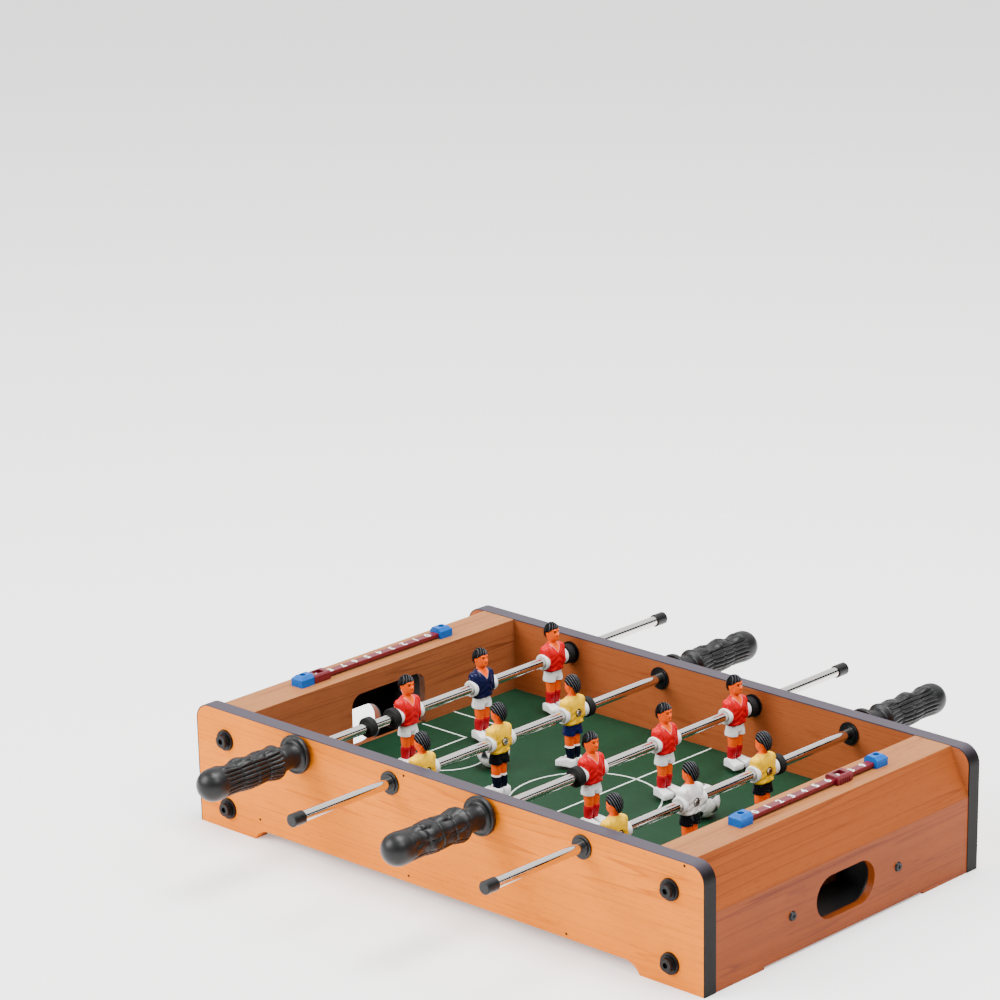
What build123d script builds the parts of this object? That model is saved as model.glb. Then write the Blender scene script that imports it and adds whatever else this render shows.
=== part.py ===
from build123d import *
import os
from math import radians, sin, cos

# Tabletop foosball table: a box cabinet of two long panels and two folded end boards,
# four steel rods with twelve players, rubber bumpers, grips and caps, and two score rails.
# Millimetres. Origin at the middle of the footprint on the floor, X along the pitch,
# Y along the rods, Z up.

# ---- cabinet ----
table_length = 510.0
table_width = 310.0
table_height = 97.0
panel_thickness = 12.0
band_thickness = 1.0
corner_radius = 13.5
arch_half_length = 195.0
arch_height = 8.7
arch_shoulder = 181.0

board_thickness = 6.0
goal_wall_x = 204.0
fold_x = 236.8
ledge_height = 96.5
end_face_x = 254.5
slope_foot_height = 60.4
end_recess_half_width = 90.5
end_recess_height = 2.0

pitch_height = 37.5
pitch_thickness = 3.0
groove_depth = 4.0
goal_half_width = 40.0
goal_top = 80.6
goal_corner_radius = 10.0
return_half_width = 33.0
return_centre_height = 32.0
return_radius = 16.6

# ---- rods ----
rod_pitch = 94.67
rod_height = 83.0
rod_radius = 4.0
rod_bore_radius = 3.2
rod_reach = 254.5
running_gap = 0.06
bushing_radius = 6.0
bushing_flange_radius = 9.0
bushing_flange_height = 2.0
cap_radius = 5.0
cap_length = 11.0
grip_length = 96.5
grip_socket_start = 12.0
bumper_radius = 7.8
bumper_length = 6.0

# ---- players, measured from the rod's axis ----
player_pitch = 81.5
outer_player_y = 121.5
player_half_width = 12.9
player_top = 31.0
hem_height = -8.2
shorts_height = -17.3
sole_height = -43.2
sleeve_radius = 8.0
set_screw_height = 0.8

# ---- fasteners ----
bolt_x = 223.5
bolt_heights = (17.5, 73.0)
bolt_shank_radius = 2.0
box_screw_y = 60.0
box_screw_height = 31.0

# ---- score rails ----
rail_x = 220.0
rail_width = 7.0
rail_bottom = 98.0
rail_thickness = 3.0
rail_half_length = 71.5
digit_pitch = 13.4
end_block_y = 76.0

ball_radius = 12.7
ball_gap = 0.05

panel_inner_y = table_width / 2 - panel_thickness
panel_outer_y = table_width / 2
rod_positions = [-1.5 * rod_pitch, -0.5 * rod_pitch, 0.5 * rod_pitch, 1.5 * rod_pitch]
# side of the table on which each rod's grip stands: -1 is the front, 1 the back
grip_sides = [-1, 1, -1, 1]

os.makedirs("parts", exist_ok=True)


def side_plane(x, y, z, side):
    """Upright plane whose normal points along Y to the given side, with Z as its y axis."""
    return Plane(origin=(x, y, z), x_dir=(-side, 0, 0), z_dir=(0, side, 0))


def end_plane(x, y, z, side):
    """Upright plane whose normal points along X to the given end, with Z as its y axis."""
    return Plane(origin=(x, y, z), x_dir=(0, side, 0), z_dir=(side, 0, 0))


# ---------------------------------------------------------------- long panels and edge bands
def panel_outline(inset):
    """Upright panel outline with two rounded top corners, set in by the band's thickness."""
    half_length = table_length / 2 - inset
    with Locations((0, (table_height - inset) / 2)):
        Rectangle(2 * half_length, table_height - inset)


for side, name in ((-1, "front"), (1, "back")):
    outer_plane = Plane.XZ.offset(-side * panel_outer_y if side > 0 else panel_inner_y)
    with BuildPart() as long_panel:
        with BuildSketch(outer_plane) as panel_face:
            panel_outline(band_thickness)
            top_corners = panel_face.vertices().group_by(Axis.Y)[-1]
            fillet(top_corners, corner_radius - band_thickness)
            # low arch that leaves a foot at each end
            with BuildLine():
                Line((-arch_shoulder, arch_height), (arch_shoulder, arch_height))
                TangentArc((arch_shoulder, arch_height), (arch_half_length, 0), tangent=(1, 0))
                Line((arch_half_length, 0), (-arch_half_length, 0))
                TangentArc((-arch_shoulder, arch_height), (-arch_half_length, 0), tangent=(-1, 0))
            make_face(mode=Mode.SUBTRACT)
            with Locations(*[(x, rod_height) for x in rod_positions]):
                Circle(bushing_radius + 0.05, mode=Mode.SUBTRACT)
            with Locations(*[(s * bolt_x, z) for s in (-1, 1) for z in bolt_heights]):
                Circle(bolt_shank_radius + 0.1, mode=Mode.SUBTRACT)
        extrude(amount=panel_thickness)
        # groove on the inner face that holds the edge of the playfield
        with BuildSketch(Plane.XY.offset(pitch_height - pitch_thickness)):
            with Locations((0, side * (panel_inner_y + groove_depth / 2))):
                Rectangle(2 * (goal_wall_x + 3), groove_depth)
        extrude(amount=pitch_thickness, mode=Mode.SUBTRACT)
    long_panel.part.label = f"{name}_panel"
    export_step(long_panel.part, f"parts/{name}_panel.step")

    with BuildPart() as edge_band:
        with BuildSketch(outer_plane) as band_face:
            panel_outline(0)
            outer_corners = band_face.vertices().group_by(Axis.Y)[-1]
            fillet(outer_corners, corner_radius)
            with BuildSketch(mode=Mode.SUBTRACT) as band_core:
                panel_outline(band_thickness)
                core_corners = band_core.vertices().group_by(Axis.Y)[-1]
                fillet(core_corners, corner_radius - band_thickness)
        extrude(amount=panel_thickness)
    edge_band.part.label = f"{name}_edge_band"
    export_step(edge_band.part, f"parts/{name}_edge_band.step")


# ---------------------------------------------------------------- end boards
# The slope leaves the ledge at fold_x and meets the end face at slope_foot_height.
slope = Vector(end_face_x - fold_x, slope_foot_height - ledge_height).normalized()
slope_inward = Vector(slope.Y, -slope.X)
inner_end_x = end_face_x - board_thickness
inner_ledge_height = ledge_height - board_thickness
slope_start = Vector(fold_x, ledge_height) + slope_inward * board_thickness
# corners of the board's inner line, where ledge, slope and end face meet
inner_fold_x = slope_start.X + slope.X / slope.Y * (inner_ledge_height - slope_start.Y)
inner_foot_height = slope_start.Y + slope.Y / slope.X * (inner_end_x - slope_start.X)

for end, name in ((-1, "left"), (1, "right")):
    with BuildPart() as goal_wall:
        with BuildSketch(Plane.XZ.offset(-panel_inner_y)):
            with BuildLine():
                Polyline(
                    (end * goal_wall_x, end_recess_height),
                    (end * (goal_wall_x + board_thickness), end_recess_height),
                    (end * (goal_wall_x + board_thickness), inner_ledge_height),
                    (end * goal_wall_x, ledge_height),
                    close=True,
                )
            make_face()
        extrude(amount=2 * panel_inner_y)
        # goal mouth, with its upper corners rounded
        with BuildSketch(end_plane(end * goal_wall_x, 0, 0, end)) as mouth:
            with Locations((0, (pitch_height + goal_top) / 2)):
                Rectangle(2 * goal_half_width, goal_top - pitch_height)
            fillet(mouth.vertices().group_by(Axis.Y)[-1], goal_corner_radius)
        extrude(amount=board_thickness, mode=Mode.SUBTRACT)
        # groove for the end of the playfield
        with BuildSketch(Plane.XY.offset(pitch_height - pitch_thickness)):
            with Locations((end * (goal_wall_x + 1.5), 0)):
                Rectangle(3, 2 * panel_inner_y)
        extrude(amount=pitch_thickness, mode=Mode.SUBTRACT)
    goal_wall.part.label = f"{name}_goal_wall"
    export_step(goal_wall.part, f"parts/{name}_goal_wall.step")

    with BuildPart() as end_casing:
        # ledge, slope and end face are one board folded at two mitred grooves
        with BuildSketch(Plane.XZ.offset(-panel_inner_y)):
            with BuildLine():
                Polyline(
                    (end * goal_wall_x, ledge_height),
                    (end * fold_x, ledge_height),
                    (end * end_face_x, slope_foot_height),
                    (end * end_face_x, 0),
                    (end * inner_end_x, 0),
                    (end * inner_end_x, inner_foot_height),
                    (end * inner_fold_x, inner_ledge_height),
                    (end * (goal_wall_x + board_thickness), inner_ledge_height),
                    close=True,
                )
            make_face()
        extrude(amount=2 * panel_inner_y)
        with BuildSketch(end_plane(end * end_face_x, 0, 0, end)) as end_cuts:
            with Locations((0, return_centre_height)):
                SlotOverall(2 * return_half_width, 2 * return_radius)
            with Locations((-box_screw_y, box_screw_height), (box_screw_y, box_screw_height)):
                Circle(1.6)
            Rectangle(2 * end_recess_half_width, 2 * end_recess_height)
        extrude(amount=-board_thickness, mode=Mode.SUBTRACT)
        # pilot holes for the two screws of the score rail
        with BuildSketch(Plane.XY.offset(ledge_height)):
            with Locations((end * rail_x, -end_block_y), (end * rail_x, end_block_y)):
                Circle(1.25)
        extrude(amount=-board_thickness, mode=Mode.SUBTRACT)
    end_casing.part.label = f"{name}_end_casing"
    export_step(end_casing.part, f"parts/{name}_end_casing.step")

    # ball catcher between goal mouth and return hole, with two screw tabs
    box_wall = 1.5
    box_start = goal_wall_x + board_thickness
    with BuildPart() as goal_box:
        with BuildSketch(Plane.XZ.offset(-46)):
            with BuildLine():
                Polyline(
                    (end * box_start, 12),
                    (end * inner_end_x, 12),
                    (end * inner_end_x, 57),
                    (end * 235.5, 84),
                    (end * box_start, 84),
                    close=True,
                )
            make_face()
        extrude(amount=92)
        with BuildSketch(Plane.XZ.offset(-46 + box_wall)):
            with BuildLine():
                Polyline(
                    (end * box_start, 12 + box_wall),
                    (end * (inner_end_x - box_wall), 12 + box_wall),
                    (end * (inner_end_x - box_wall), 56.6),
                    (end * 234.6, 84 - box_wall),
                    (end * box_start, 84 - box_wall),
                    close=True,
                )
            make_face()
        extrude(amount=92 - 2 * box_wall, mode=Mode.SUBTRACT)
        with BuildSketch(end_plane(end * inner_end_x, 0, 0, -end)):
            with Locations((-57, box_screw_height), (57, box_screw_height)):
                Rectangle(22, 14)
        extrude(amount=box_wall)
        with BuildSketch(end_plane(end * inner_end_x, 0, 0, -end)):
            with Locations((0, return_centre_height)):
                SlotOverall(2 * return_half_width, 2 * return_radius)
            with Locations((-box_screw_y, box_screw_height), (box_screw_y, box_screw_height)):
                Circle(1.5)
        extrude(amount=box_wall, mode=Mode.SUBTRACT)
    goal_box.part.label = f"{name}_goal_box"
    export_step(goal_box.part, f"parts/{name}_goal_box.step")


# ---------------------------------------------------------------- playfield and corner blocks
with BuildPart() as playfield:
    with BuildSketch(Plane.XY.offset(pitch_height - pitch_thickness)):
        Rectangle(2 * (goal_wall_x + 3), 2 * (panel_inner_y + groove_depth))
    extrude(amount=pitch_thickness)
playfield.part.label = "playfield"
export_step(playfield.part, "parts/playfield.step")

block_inner_x = goal_wall_x + board_thickness
block_outer_x = 235.0
block_depth = 22.0
with BuildPart() as corner_blocks:
    with BuildSketch(Plane.XY.offset(end_recess_height)):
        for sx in (-1, 1):
            for sy in (-1, 1):
                block_x = sx * (block_inner_x + block_outer_x) / 2
                block_y = sy * (panel_inner_y - block_depth / 2)
                with Locations((block_x, block_y)):
                    Rectangle(block_outer_x - block_inner_x, block_depth)
    extrude(amount=82)
    # pilot holes for the panel bolts
    for sy in (-1, 1):
        with BuildSketch(side_plane(0, sy * panel_inner_y, 0, sy)):
            for sx in (-1, 1):
                for z in bolt_heights:
                    with Locations((sx * bolt_x, z)):
                        Circle(bolt_shank_radius)
        extrude(amount=-18, mode=Mode.SUBTRACT)
corner_blocks.part.label = "corner_blocks"
export_step(corner_blocks.part, "parts/corner_blocks.step")


# ---------------------------------------------------------------- panel bolts and washers
washer_radius = 8.4
washer_base = 1.8
washer_step_radius = 6.4
washer_height = 3.0
bolt_planes = [
    side_plane(sx * bolt_x, sy * panel_outer_y, z, sy)
    for sx in (-1, 1)
    for sy in (-1, 1)
    for z in bolt_heights
]

with BuildPart() as bolt_washers:
    for plane in bolt_planes:
        with BuildSketch(plane):
            Circle(washer_radius)
            Circle(bolt_shank_radius + 0.1, mode=Mode.SUBTRACT)
        extrude(amount=washer_base, taper=14)
        with BuildSketch(plane.offset(washer_base)):
            Circle(washer_step_radius)
            Circle(bolt_shank_radius + 0.1, mode=Mode.SUBTRACT)
        extrude(amount=washer_height - washer_base)
bolt_washers.part.label = "bolt_washers"
export_step(bolt_washers.part, "parts/bolt_washers.step")

with BuildPart() as panel_bolts:
    for plane in bolt_planes:
        with BuildSketch(plane.offset(washer_height)):
            Circle(5.3)
        extrude(amount=2.6, taper=8)
        with BuildSketch(plane.offset(washer_height)):
            Circle(bolt_shank_radius)
        extrude(amount=-(washer_height + panel_thickness + 17))
        # hexagon socket
        with BuildSketch(plane.offset(washer_height + 2.6)):
            RegularPolygon(2.4, 6)
        extrude(amount=-2.2, mode=Mode.SUBTRACT)
panel_bolts.part.label = "panel_bolts"
export_step(panel_bolts.part, "parts/panel_bolts.step")

with BuildPart() as goal_box_screws:
    for sx in (-1, 1):
        for sy in (-1, 1):
            plane = end_plane(sx * end_face_x, sy * box_screw_y, box_screw_height, sx)
            with BuildSketch(plane):
                Circle(3.75)
            extrude(amount=1.5, taper=25)
            with BuildSketch(plane):
                Circle(1.5)
            extrude(amount=-(board_thickness + 1.5 + 4))
            # cross recess
            with BuildSketch(plane.offset(1.5)):
                Rectangle(3.4, 0.8)
                Rectangle(0.8, 3.4)
            extrude(amount=-1.0, mode=Mode.SUBTRACT)
goal_box_screws.part.label = "goal_box_screws"
export_step(goal_box_screws.part, "parts/goal_box_screws.step")


# ---------------------------------------------------------------- rod bushings
bushing_bore = rod_radius + running_gap
bushing_length = panel_thickness + bushing_flange_height
with BuildPart() as rod_bushings:
    for x in rod_positions:
        for side in (-1, 1):
            plane = side_plane(x, side * panel_outer_y, rod_height, side)
            with BuildSketch(plane):
                Circle(bushing_flange_radius)
                Circle(bushing_bore, mode=Mode.SUBTRACT)
            extrude(amount=1.2)
            with BuildSketch(plane.offset(1.2)):
                Circle(bushing_radius + 0.6)
                Circle(bushing_bore, mode=Mode.SUBTRACT)
            extrude(amount=bushing_flange_height - 1.2)
            with BuildSketch(plane):
                Circle(bushing_radius)
                Circle(bushing_bore, mode=Mode.SUBTRACT)
            extrude(amount=-bushing_length)
rod_bushings.part.label = "rod_bushings"
export_step(rod_bushings.part, "parts/rod_bushings.step")

with BuildPart() as bushing_retainers:
    for x in rod_positions:
        for side in (-1, 1):
            plane = side_plane(x, side * panel_inner_y, rod_height, -side)
            with BuildSketch(plane):
                Circle(bushing_flange_radius)
                Circle(bushing_radius, mode=Mode.SUBTRACT)
            extrude(amount=1.2)
            with BuildSketch(plane.offset(1.2)):
                Circle(bushing_radius + 1.2)
                Circle(bushing_radius, mode=Mode.SUBTRACT)
            extrude(amount=bushing_flange_height - 1.2)
bushing_retainers.part.label = "bushing_retainers"
export_step(bushing_retainers.part, "parts/bushing_retainers.step")


# ---------------------------------------------------------------- score rails
rail_middle = rail_bottom + rail_thickness / 2
block_height = 8.5
block_size_x = 12.0
block_size_y = 13.0

for end, name in ((-1, "left"), (1, "right")):
    with BuildPart() as score_rail:
        with BuildSketch(Plane.XY.offset(rail_bottom)):
            with Locations((end * rail_x, 0)):
                Rectangle(rail_width, 2 * rail_half_length)
        extrude(amount=rail_thickness)
        chamfer(score_rail.faces().sort_by(Axis.Z)[-1].edges().filter_by(Axis.Y), 0.4)
    score_rail.part.label = f"{name}_score_rail"
    export_step(score_rail.part, f"parts/{name}_score_rail.step")

with BuildPart() as score_end_blocks:
    for sx in (-1, 1):
        for sy in (-1, 1):
            with BuildSketch(Plane.XY.offset(ledge_height)):
                with Locations((sx * rail_x, sy * end_block_y)):
                    Rectangle(block_size_x, block_size_y)
            extrude(amount=block_height)
    # the outer and side edges of the top are broadly chamfered
    top_faces = score_end_blocks.faces().group_by(Axis.Z)[-1]
    for face in top_faces:
        outward = 1 if face.center().Y > 0 else -1
        side_edges = face.edges().filter_by(Axis.Y)
        outer_edge = face.edges().filter_by(Axis.X).sort_by(Axis.Y)[-1 if outward > 0 else 0]
        chamfer(side_edges + [outer_edge], 2.6)
    for sx in (-1, 1):
        for sy in (-1, 1):
            # slot for the rail's end
            with BuildSketch(Plane.XY.offset(rail_bottom)):
                with Locations((sx * rail_x, sy * (rail_half_length - 1))):
                    Rectangle(rail_width, 2)
            extrude(amount=rail_thickness, mode=Mode.SUBTRACT)
            # counterbored screw hole
            with BuildSketch(Plane.XY.offset(ledge_height)):
                with Locations((sx * rail_x, sy * end_block_y)):
                    Circle(1.3)
            extrude(amount=block_height, mode=Mode.SUBTRACT)
            with BuildSketch(Plane.XY.offset(ledge_height + 3.5)):
                with Locations((sx * rail_x, sy * end_block_y)):
                    Circle(2.6)
            extrude(amount=block_height, mode=Mode.SUBTRACT)
score_end_blocks.part.label = "score_end_blocks"
export_step(score_end_blocks.part, "parts/score_end_blocks.step")

with BuildPart() as score_rail_screws:
    for sx in (-1, 1):
        for sy in (-1, 1):
            plane = Plane(origin=(sx * rail_x, sy * end_block_y, ledge_height + 3.5))
            with BuildSketch(plane):
                Circle(2.4)
            extrude(amount=1.6, taper=15)
            with BuildSketch(plane):
                Circle(1.2)
            extrude(amount=-8.5)
            with BuildSketch(plane.offset(1.6)):
                Rectangle(2.6, 0.6)
                Rectangle(0.6, 2.6)
            extrude(amount=-0.9, mode=Mode.SUBTRACT)
score_rail_screws.part.label = "score_rail_screws"
export_step(score_rail_screws.part, "parts/score_rail_screws.step")

# window sliders: the right one stands over digit 7, the left one over digit 9
marker_length = 17.0
marker_height = 6.3
marker_bottom = ledge_height + 0.4
marker_places = (("right", 1, 2.5 * digit_pitch), ("left", -1, -4.5 * digit_pitch))
for name, end, marker_y in marker_places:
    with BuildPart() as score_marker:
        with BuildSketch(Plane.XY.offset(marker_bottom)):
            with Locations((end * rail_x, marker_y)):
                Rectangle(block_size_x, marker_length)
        extrude(amount=marker_height)
        top_face = score_marker.faces().sort_by(Axis.Z)[-1]
        chamfer(top_face.edges().filter_by(Axis.Y), 1.2)
        # passage for the rail
        rail_hole = Plane.XZ.offset(-marker_y - marker_length / 2)
        with BuildSketch(rail_hole):
            with Locations((end * rail_x, rail_middle)):
                Rectangle(rail_width + 0.3, rail_thickness + 0.3)
        extrude(amount=marker_length, mode=Mode.SUBTRACT)
        # window over one digit
        with BuildSketch(Plane.XY.offset(rail_middle)):
            with Locations((end * rail_x, marker_y)):
                Rectangle(rail_width, 9)
        extrude(amount=10, mode=Mode.SUBTRACT)
        # finger ribs low on the outer side
        for step in range(-2, 3):
            rib_y = marker_y + 2.4 * step
            with BuildSketch(Plane.XY.offset(marker_bottom)):
                with Locations((end * (rail_x + block_size_x / 2 + 0.3), rib_y)):
                    Rectangle(0.6, 1.2)
            extrude(amount=3.4)
    score_marker.part.label = f"{name}_score_marker"
    export_step(score_marker.part, f"parts/{name}_score_marker.step")


# ---------------------------------------------------------------- grip, drawn along +Z
# radius of the moulded grip at distances from its rounded outer end
grip_profile = [
    (4.6, 1.0),
    (8.6, 4.5),
    (11.4, 9.0),
    (12.3, 16.0),
    (11.9, 24.0),
    (11.5, 31.0),
    (12.3, 40.0),
    (12.6, 47.0),
    (11.9, 55.0),
    (11.3, 61.0),
    (12.6, 67.0),
    (13.4, 71.0),
]
neck_radius = 9.5
grip_flange_radius = 15.0
rib_count = 20
socket_depth = grip_length - grip_socket_start

with BuildPart() as grip:
    with BuildSketch(Plane.XZ):
        with BuildLine():
            outer = Spline((0, 0), *grip_profile, tangents=[(1, 0), (0, 1)])
            shoulder = Line(outer @ 1, (neck_radius + 0.3, 79))
            neck = Line(shoulder @ 1, (neck_radius, 91.5))
            flare = Line(neck @ 1, (grip_flange_radius, 94))
            rim = Line(flare @ 1, (grip_flange_radius, grip_length))
            face_line = Line(rim @ 1, (0, grip_length))
            Line(face_line @ 1, (0, 0))
        make_face()
    revolve(axis=Axis.Z)
    # longitudinal ribs are what is left between thin grooves that follow the profile
    with BuildSketch(Plane.XZ):
        with BuildLine():
            groove_floor = Spline(*[(r - 0.8, s) for r, s in grip_profile[4:]])
            Line(groove_floor @ 1, (17, 71))
            Line((17, 71), (17, 24))
            Line((17, 24), groove_floor @ 0)
        make_face()
    groove = extrude(amount=0.45, both=True, mode=Mode.PRIVATE)
    with PolarLocations(0, rib_count):
        add(groove, mode=Mode.SUBTRACT)
    # rings moulded across the ribs
    for ring_s in (34, 47, 60):
        with BuildSketch(Plane.XY.offset(ring_s - 0.6)):
            Circle(17)
            Circle(11.0, mode=Mode.SUBTRACT)
        extrude(amount=1.2, mode=Mode.SUBTRACT)
    # socket for the rod
    with BuildSketch(Plane.XY.offset(grip_socket_start)):
        Circle(rod_radius)
    extrude(amount=socket_depth, mode=Mode.SUBTRACT)


# ---------------------------------------------------------------- player, facing +X
# elliptical sections: height above the rod's axis, half depth, half width, forward shift
shirt_sections = [
    (hem_height, 6.3, 9.8, 0.2),
    (-2.0, 7.2, 10.8, 0.4),
    (5.0, 7.2, 11.6, 0.2),
    (10.0, 5.6, 10.2, -0.2),
    (13.4, 3.6, 6.0, -0.4),
]
shorts_sections = [
    (shorts_height, 5.4, 8.8, 0.0),
    (hem_height - 4.0, 5.8, 9.2, 0.0),
    (hem_height + 0.5, 5.8, 9.2, 0.0),
]
neck_sections = [
    (12.0, 3.4, 3.6, -0.3),
    (17.0, 3.4, 3.6, 0.0),
]
leg_y = 4.0
foot_turn = 10.0

with BuildPart() as player:
    for sections in (shirt_sections, shorts_sections, neck_sections):
        for height, half_depth, half_width, shift in sections:
            with BuildSketch(Plane.XY.offset(height)):
                with Locations((shift, 0)):
                    Ellipse(half_depth, half_width)
        loft()
    # sleeves run out to the rod
    with BuildSketch(Plane.XZ.offset(-player_half_width)):
        Circle(sleeve_radius)
    extrude(amount=2 * player_half_width)
    # head
    with BuildSketch(Plane.XZ):
        with Locations((0.3, 22.2)):
            Ellipse(6.2, player_top - 22.2)
        with Locations((-10 + 0.3, 22)):
            Rectangle(20, 40, mode=Mode.SUBTRACT)
    revolve(axis=Axis((0.3, 0, 0), (0, 0, 1)))
    # legs
    for side in (-1, 1):
        with BuildSketch(Plane.XY.offset(shorts_height + 1)):
            with Locations((0.2, side * leg_y)):
                Ellipse(4.6, 4.2)
        with BuildSketch(Plane.XY.offset(-39)):
            with Locations((0, side * leg_y)):
                Ellipse(3.9, 3.9)
        loft()
    # boots, wedges that turn a little outwards
    for side in (-1, 1):
        turned = Plane(
            origin=(0, side * 5.2, 0),
            x_dir=(cos(radians(foot_turn)), side * sin(radians(foot_turn)), 0),
            z_dir=(side * sin(radians(foot_turn)), -cos(radians(foot_turn)), 0),
        )
        with BuildSketch(turned):
            with BuildLine():
                Polyline(
                    (-5.4, sole_height),
                    (9.6, sole_height),
                    (10.4, -37.6),
                    (4.0, -34.8),
                    (-4.4, -35.2),
                    close=True,
                )
            make_face()
        extrude(amount=5.0, both=True)
    # passage for the rod
    with BuildSketch(Plane.XZ.offset(-player_half_width)):
        Circle(rod_radius)
    extrude(amount=2 * player_half_width, mode=Mode.SUBTRACT)
    # seat of the set screw in the back
    with BuildSketch(Plane.YZ.offset(-14)):
        with Locations((0, set_screw_height)):
            Circle(2.9)
    extrude(amount=14 - 6.2, mode=Mode.SUBTRACT)
    with BuildSketch(Plane.YZ.offset(-7)):
        with Locations((0, set_screw_height)):
            Circle(1.4)
    extrude(amount=7, mode=Mode.SUBTRACT)

with BuildPart() as set_screw:
    with BuildSketch(Plane.YZ.offset(-6.2)):
        with Locations((0, set_screw_height)):
            Circle(2.7)
    extrude(amount=-1.3, taper=12)
    with BuildSketch(Plane.YZ.offset(-6.2)):
        with Locations((0, set_screw_height)):
            Circle(1.4)
    extrude(amount=2.3)
    with BuildSketch(Plane.YZ.offset(-7.5)):
        with Locations((0, set_screw_height)):
            Rectangle(3.0, 0.7)
            Rectangle(0.7, 3.0)
    extrude(amount=0.9, mode=Mode.SUBTRACT)


# ---------------------------------------------------------------- the four rods
def save_piece(builder, name):
    builder.part.label = name
    export_step(builder.part, f"parts/{name}.step")


for index, rod_x in enumerate(rod_positions):
    number = index + 1
    grip_side = grip_sides[index]
    cap_side = -grip_side
    # the rod stands pushed away from its grip, and its players face the opposite goal
    facing = 1 if grip_side < 0 else -1
    player_places = [cap_side * (outer_player_y - player_pitch * k) for k in range(3)]

    tube_start = grip_side * (rod_reach - grip_socket_start)
    tube_end = cap_side * (rod_reach - 2)
    tube_length = abs(tube_start) + abs(tube_end)
    with BuildPart() as rod_tube:
        with BuildSketch(side_plane(rod_x, tube_start, rod_height, cap_side)):
            Circle(rod_radius)
            Circle(rod_bore_radius, mode=Mode.SUBTRACT)
        extrude(amount=tube_length)
        # threaded holes for the set screws
        for y in player_places:
            with BuildSketch(end_plane(rod_x, y, rod_height + set_screw_height, -facing)):
                Circle(1.4)
            extrude(amount=rod_radius + 1, mode=Mode.SUBTRACT)
    save_piece(rod_tube, f"rod_{number}_tube")

    grip_plane = side_plane(rod_x, grip_side * rod_reach, rod_height, -grip_side)
    with BuildPart(grip_plane) as rod_handle:
        add(grip.part)
    save_piece(rod_handle, f"rod_{number}_handle")

    with BuildPart() as rod_cap:
        with BuildSketch(side_plane(rod_x, cap_side * (rod_reach - cap_length), rod_height, cap_side)):
            Circle(cap_radius)
        extrude(amount=cap_length)
        fillet(rod_cap.edges().group_by(Axis.Y)[-1 if cap_side > 0 else 0], 0.8)
        with BuildSketch(side_plane(rod_x, cap_side * (rod_reach - cap_length), rod_height, cap_side)):
            Circle(rod_radius)
        extrude(amount=cap_length - 2, mode=Mode.SUBTRACT)
    save_piece(rod_cap, f"rod_{number}_cap")

    # rubber bumpers just outside the outer two players
    bumper_starts = []
    for y, outward in ((max(player_places), 1), (min(player_places), -1)):
        bumper_starts.append((y + outward * 13.0, outward))
    with BuildPart() as rod_bumpers:
        for start, outward in bumper_starts:
            with BuildSketch(side_plane(rod_x, start, rod_height, outward)):
                Circle(bumper_radius)
                Circle(rod_radius + running_gap, mode=Mode.SUBTRACT)
            extrude(amount=bumper_length)
        outer_rims = rod_bumpers.edges().filter_by(GeomType.CIRCLE).group_by(SortBy.RADIUS)[-1]
        fillet(outer_rims, 0.8)
    save_piece(rod_bumpers, f"rod_{number}_bumpers")

    for place, y in enumerate(sorted(player_places)):
        # the figure's x axis points the way it faces
        stand = Plane(origin=(rod_x, y, rod_height), x_dir=(facing, 0, 0), z_dir=(0, 0, 1))
        with BuildPart(stand) as rod_player:
            add(player.part)
        save_piece(rod_player, f"rod_{number}_player_{place + 1}")

    with BuildPart() as player_screws:
        for y in player_places:
            stand = Plane(origin=(rod_x, y, rod_height), x_dir=(facing, 0, 0), z_dir=(0, 0, 1))
            with Locations(stand.location):
                add(set_screw.part)
    save_piece(player_screws, f"rod_{number}_player_screws")

# spare bumper left loose on the first rod, near the front panel
with BuildPart() as rod_1_loose_ring:
    with BuildSketch(side_plane(rod_positions[0], -80.3, rod_height, -1)):
        Circle(bumper_radius)
        Circle(rod_radius + running_gap, mode=Mode.SUBTRACT)
    extrude(amount=bumper_length)
    loose_rims = rod_1_loose_ring.edges().filter_by(GeomType.CIRCLE).group_by(SortBy.RADIUS)[-1]
    fillet(loose_rims, 0.8)
save_piece(rod_1_loose_ring, "rod_1_loose_ring")


# ---------------------------------------------------------------- balls
# each ball lies in the strip between two rods that no foot can reach
ball_height = pitch_height + ball_radius + ball_gap
ball_places = ((1, -rod_pitch, 3.0), (2, rod_pitch, 29.5))
for number, x, y in ball_places:
    with BuildPart(Plane(origin=(x, y, ball_height))) as ball:
        Sphere(ball_radius)
    save_piece(ball, f"ball_{number}")
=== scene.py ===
import bpy
import math
import numpy as np
from mathutils import Matrix, Vector


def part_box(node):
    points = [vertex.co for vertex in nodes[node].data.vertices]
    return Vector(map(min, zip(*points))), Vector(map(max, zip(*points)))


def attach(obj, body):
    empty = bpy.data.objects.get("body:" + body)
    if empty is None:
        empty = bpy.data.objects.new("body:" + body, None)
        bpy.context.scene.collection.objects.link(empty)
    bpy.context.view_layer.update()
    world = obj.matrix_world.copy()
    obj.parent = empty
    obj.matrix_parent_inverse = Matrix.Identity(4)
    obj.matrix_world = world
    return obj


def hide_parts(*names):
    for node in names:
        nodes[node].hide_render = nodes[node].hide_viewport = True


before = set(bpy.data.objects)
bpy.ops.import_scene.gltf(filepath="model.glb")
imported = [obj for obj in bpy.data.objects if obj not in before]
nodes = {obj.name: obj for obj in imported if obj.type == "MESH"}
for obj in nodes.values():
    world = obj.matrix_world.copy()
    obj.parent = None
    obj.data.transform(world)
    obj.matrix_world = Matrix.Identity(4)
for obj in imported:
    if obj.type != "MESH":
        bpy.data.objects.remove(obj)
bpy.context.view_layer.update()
mm = 0.001
print("frame loaded:", len(nodes), "nodes")


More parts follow.
